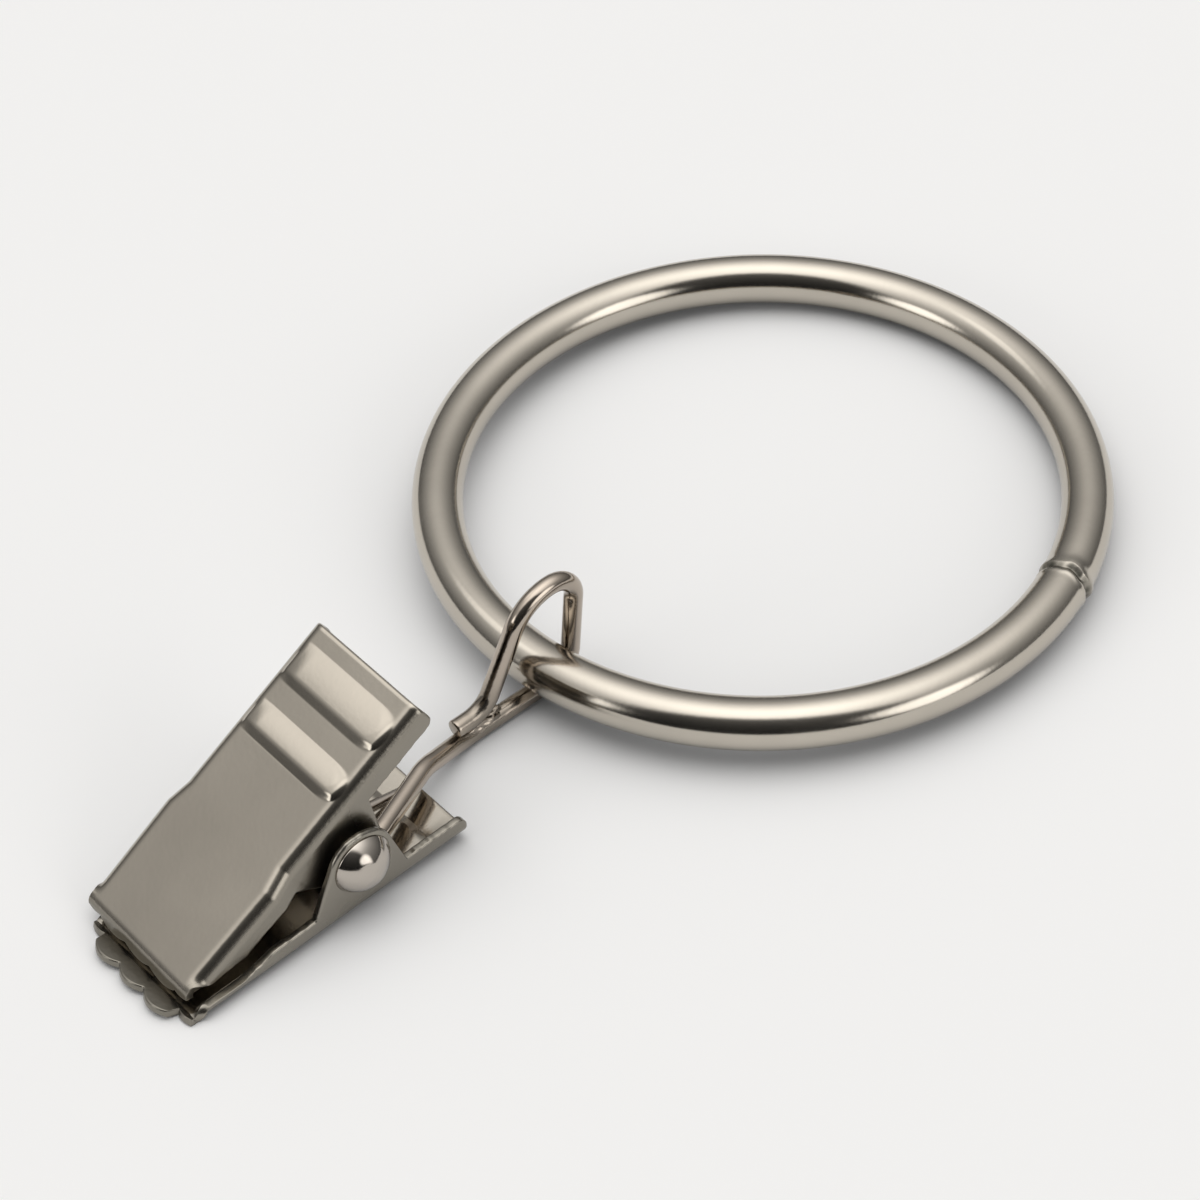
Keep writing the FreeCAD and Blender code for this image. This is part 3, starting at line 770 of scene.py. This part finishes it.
def polish_group():
    """Empty node group with the named inputs and outputs of worn polish, whose stain input also carries
    painted shade.
    """
    group = bpy.data.node_groups.new("worn_polish_and_shade", "ShaderNodeTree")
    inputs = (("Tint", "Color"), ("Polish", "Float"), ("Grain", "Float"),
              ("Stretch", "Vector"), ("StainAndShade", "Float"))
    outputs = (("Color", "Color"), ("Roughness", "Float"), ("Height", "Float"))
    for way, sockets in (("INPUT", inputs), ("OUTPUT", outputs)):
        for name, kind in sockets:
            group.interface.new_socket(name, in_out=way, socket_type="NodeSocket" + kind)
    return group


def worn_polish_and_shade():
    """Colour, roughness and bump height of polished nickel plate, from the object's own coordinates.

    The tint is scaled by slow noise and mixed with a dark colour by the stain input: real weld stain on the
    ring and hanger, painted shade on the jaws' flanks and lip. Roughness is the polish, plus a share of the
    slow noise, plus a share of the stain input. Height is fine noise times the grain.
    """
    group = polish_group()
    nodes, links = group.nodes, group.links
    given, made = nodes.new("NodeGroupInput").outputs, nodes.new("NodeGroupOutput").inputs
    place = nodes.new("ShaderNodeTexCoord").outputs["Object"]
    stretched = nodes.new("ShaderNodeVectorMath")
    stretched.operation = "MULTIPLY"
    links.new(place, stretched.inputs[0])
    links.new(given["Stretch"], stretched.inputs[1])
    slow = noise(group, place, TINT_SCALE, 3.0)
    fine = noise(group, stretched.outputs[0], GRAIN_SCALE, 2.0)

    tinted = nodes.new("ShaderNodeVectorMath")
    tinted.operation = "SCALE"
    links.new(given["Tint"], tinted.inputs[0])
    links.new(remapped(group, slow, (0.3, 0.7), TINT_SHADES), tinted.inputs["Scale"])
    stained_and_shaded = nodes.new("ShaderNodeMix")
    stained_and_shaded.data_type = "RGBA"
    stained_and_shaded.inputs["B"].default_value = STAIN_AND_SHADE_COLOUR
    links.new(given["StainAndShade"], stained_and_shaded.inputs["Factor"])
    links.new(tinted.outputs[0], stained_and_shaded.inputs["A"])

    dull = joined(group, "MULTIPLY_ADD", slow, UNEVEN_POLISH, given["Polish"])
    links.new(stained_and_shaded.outputs["Result"], made["Color"])
    links.new(joined(group, "MULTIPLY_ADD", given["StainAndShade"], STAIN_AND_SHADE_ROUGHNESS, dull), made["Roughness"])
    links.new(joined(group, "MULTIPLY", fine, given["Grain"]), made["Height"])
    return group


POLISH = worn_polish_and_shade()
print("node group:", POLISH.name)

# %% [markdown]
# ## Finishes
#
# All pieces are plated, but not alike: the ring is the brightest, the jaws' plates are a little darker, the
# hanger is warmer and the spring is bare wire. One function makes each material from a tint, a polish and a
# grain. The piece's mark adds a stain and more grain, so a weld or a fold needs no second material. At a weld
# the stain is real; on the jaws' folded sides and lip it is painted shade.

# %% Materials
EVEN, DRAWN = (1.0, 1.0, 1.0), (0.35, 1.0, 1.0)
BUMP_STRENGTH, BUMP_DISTANCE = 0.25, 0.00002


def nickel(name, tint, polish, grain, stretch=EVEN, marked_stain_and_shade=0.0, marked_grain=0.0):
    """Metallic material whose colour, roughness and bump come from the worn polish and shade group.

    The stain input and the grain are each a base value plus the mark times its share; on a weld the stain is
    real, on the jaws' flanks and lip it is painted shade.
    """
    material = bpy.data.materials.new(name)
    material.use_nodes = True
    tree = material.node_tree
    nodes, links = tree.nodes, tree.links
    shader = nodes["Principled BSDF"]
    shader.inputs["Metallic"].default_value = 1.0
    wear = nodes.new("ShaderNodeGroup")
    wear.node_tree = POLISH
    wear.inputs["Tint"].default_value = (*tint, 1.0)
    wear.inputs["Polish"].default_value = polish
    wear.inputs["Stretch"].default_value = stretch
    mark = nodes.new("ShaderNodeAttribute")
    mark.attribute_name = "mark"
    for socket, share, base in (("StainAndShade", marked_stain_and_shade, 0.0), ("Grain", marked_grain, grain)):
        links.new(joined(tree, "MULTIPLY_ADD", mark.outputs["Fac"], share, base), wear.inputs[socket])
    bump = nodes.new("ShaderNodeBump")
    bump.inputs["Strength"].default_value = BUMP_STRENGTH
    bump.inputs["Distance"].default_value = BUMP_DISTANCE
    links.new(wear.outputs["Color"], shader.inputs["Base Color"])
    links.new(wear.outputs["Roughness"], shader.inputs["Roughness"])
    links.new(wear.outputs["Height"], bump.inputs["Height"])
    links.new(bump.outputs["Normal"], shader.inputs["Normal"])
    return material


# On the jaws the stain share darkens the flanks and lip as painted shade; more grain there is real.
folded = {"marked_stain_and_shade": 0.75, "marked_grain": 2.0}
finishes = {
    ring: nickel("ring_nickel", (0.52, 0.48, 0.418), 0.11, 0.6, marked_stain_and_shade=1.0, marked_grain=5.0),
    hanger: nickel(
        "hanger_nickel", (0.45, 0.39, 0.33), 0.08, 1.0, DRAWN, marked_stain_and_shade=0.6, marked_grain=4.0),
    spring: nickel("spring_steel", (0.38, 0.34, 0.30), 0.16, 1.0),
    rivet: nickel("rivet_nickel", (0.47, 0.43, 0.385), 0.05, 0.4),
    lower_jaw: nickel("lower_jaw_nickel", (0.43, 0.396, 0.342), 0.10, 0.7, **folded),
    upper_jaw: nickel("upper_jaw_nickel", (0.438, 0.40, 0.342), 0.12, 0.7, **folded),
}
finishes[weld] = finishes[hanger]
for piece, material in finishes.items():
    piece.data.materials.append(material)
print("materials:", [material.name for material in finishes.values()])

# %% [markdown]
# ## Floor
#
# The part lies on a plain studio floor that is nearly white by its own colour. The floor could be left out
# and the world made white, but then the part would have no shadow and the metal nothing to show from below.
# So it is one diffuse plane, the same to the camera and to the metal's reflections.

# %% Floor
FLOOR_COLOUR = (0.95, 0.95, 0.95, 1.0)
FLOOR_SIZE = 3.0


def floor_material():
    """Diffuse floor of one colour."""
    material = bpy.data.materials.new("floor")
    material.use_nodes = True
    nodes, links = material.node_tree.nodes, material.node_tree.links
    nodes.clear()
    output = nodes.new("ShaderNodeOutputMaterial")
    diffuse = nodes.new("ShaderNodeBsdfDiffuse")
    diffuse.inputs["Color"].default_value = FLOOR_COLOUR
    links.new(diffuse.outputs["BSDF"], output.inputs["Surface"])
    return material


bpy.ops.mesh.primitive_plane_add(size=FLOOR_SIZE, location=(0.0, 0.0, 0.0))
floor = bpy.context.object
floor.name = "floor"
floor.data.materials.append(floor_material())
print("floor:", FLOOR_COLOUR)

# %% [markdown]
# ## Light
#
# Metal looks like what it reflects, so the light is a studio tent: brightest overhead, fading towards the
# horizon. The camera leaves a dark place in the tent, and soft panels stand to the left, to the right of the
# camera and high up at the back. Lamps could do this, but lamps show as hard spots in a mirror. So the tent
# is the world's background, and each place in it is a soft step of the angle to a direction.

# %% World
DOME = {"horizon": 0.10, "slope": 0.62, "top": 1.53, "power": 5.0}
# A place in the tent: its direction, the angles at which it starts and ends to fade, and its strength.
DARK_PLACE = ((-0.60, -0.70, 0.34), 38.0, 52.0, -0.9)
PANELS = (
    ((-0.93, 0.16, 0.33), 6.0, 18.0, 2.0),
    ((0.12, -0.93, 0.33), 9.0, 22.0, 2.0),
    ((-0.2, 0.59, 0.78), 3.0, 14.0, 0.6),
)
LIGHT_COLOUR = (1.0, 0.99, 0.975, 1.0)


def lobe(tree, ray, direction, inner, outer, strength):
    """Strength that fades from full to none as a ray turns away from a direction."""
    dot = tree.nodes.new("ShaderNodeVectorMath")
    dot.operation = "DOT_PRODUCT"
    dot.inputs[1].default_value = Vector(direction).normalized()
    tree.links.new(ray, dot.inputs[0])
    edges = [math.cos(math.radians(angle)) for angle in (outer, inner)]
    return remapped(tree, dot.outputs["Value"], edges, (0.0, strength), "SMOOTHSTEP")


def build_world():
    """Background: a dome that brightens with height, times its dark place, plus the panels.

    The dome is the horizon's level, plus the slope times the height, plus the top times a power of it.
    """
    world = bpy.data.worlds.new("studio_tent")
    bpy.context.scene.world = world
    world.use_nodes = True
    tree = world.node_tree
    tree.nodes.clear()
    output = tree.nodes.new("ShaderNodeOutputWorld")
    background = tree.nodes.new("ShaderNodeBackground")
    background.inputs["Color"].default_value = LIGHT_COLOUR
    ray = tree.nodes.new("ShaderNodeTexCoord").outputs["Generated"]
    split = tree.nodes.new("ShaderNodeSeparateXYZ")
    tree.links.new(ray, split.inputs[0])
    height = joined(tree, "MAXIMUM", split.outputs["Z"], 0.0)
    rise = joined(tree, "MULTIPLY", height, DOME["slope"])
    crown = joined(tree, "MULTIPLY", joined(tree, "POWER", height, DOME["power"]), DOME["top"])
    total = joined(tree, "ADD", joined(tree, "ADD", rise, crown), DOME["horizon"])
    total = joined(tree, "MULTIPLY", total, joined(tree, "ADD", lobe(tree, ray, *DARK_PLACE), 1.0))
    for panel in PANELS:
        total = joined(tree, "ADD", total, lobe(tree, ray, *panel))
    tree.links.new(total, background.inputs["Strength"])
    tree.links.new(background.outputs["Background"], output.inputs["Surface"])


build_world()
print("world panels:", len(PANELS))

# %% [markdown]
# ## Camera
#
# The camera stands where the photograph's did. It could be set by eye, but its place, direction and roll were
# solved from the ring's ellipse and the clip's corners, so that the pieces fall where they do in the picture.

# %% Camera
CAMERA_PLACE = np.array([-97.3804, -110.7522, 146.0316]) + np.array([RING_CENTRE[0], 0.0, 0.0])
CAMERA_AZIMUTH = 0.923301
CAMERA_ELEVATION = -0.804985
CAMERA_ROLL = -0.088679
PICTURE_WIDTH = 1200
SENSOR_WIDTH = 36.0
FOCAL_PIXELS = 3223.6935
NEAR_CLIP = 0.01


def build_camera():
    """Camera from its look direction and roll: right and up turn about the look direction."""
    data = bpy.data.cameras.new("camera")
    data.lens = FOCAL_PIXELS / PICTURE_WIDTH * SENSOR_WIDTH
    data.sensor_width = SENSOR_WIDTH
    data.clip_start = NEAR_CLIP
    camera = bpy.data.objects.new("camera", data)
    bpy.context.scene.collection.objects.link(camera)
    flat = math.cos(CAMERA_ELEVATION)
    look = Vector((math.cos(CAMERA_AZIMUTH) * flat, math.sin(CAMERA_AZIMUTH) * flat,
                   math.sin(CAMERA_ELEVATION)))
    level = look.cross(Vector((0, 0, 1))).normalized()
    upright = level.cross(look)
    right = level * math.cos(CAMERA_ROLL) + upright * math.sin(CAMERA_ROLL)
    up = upright * math.cos(CAMERA_ROLL) - level * math.sin(CAMERA_ROLL)
    turn = Matrix((right, up, -look)).transposed().to_4x4()
    camera.matrix_world = Matrix.Translation(Vector(CAMERA_PLACE * MM)) @ turn
    bpy.context.scene.camera = camera
    print("camera lens:", round(data.lens, 2))


build_camera()
bpy.context.scene.view_settings.view_transform = "Standard"
bpy.context.scene.cycles.caustics_reflective = False
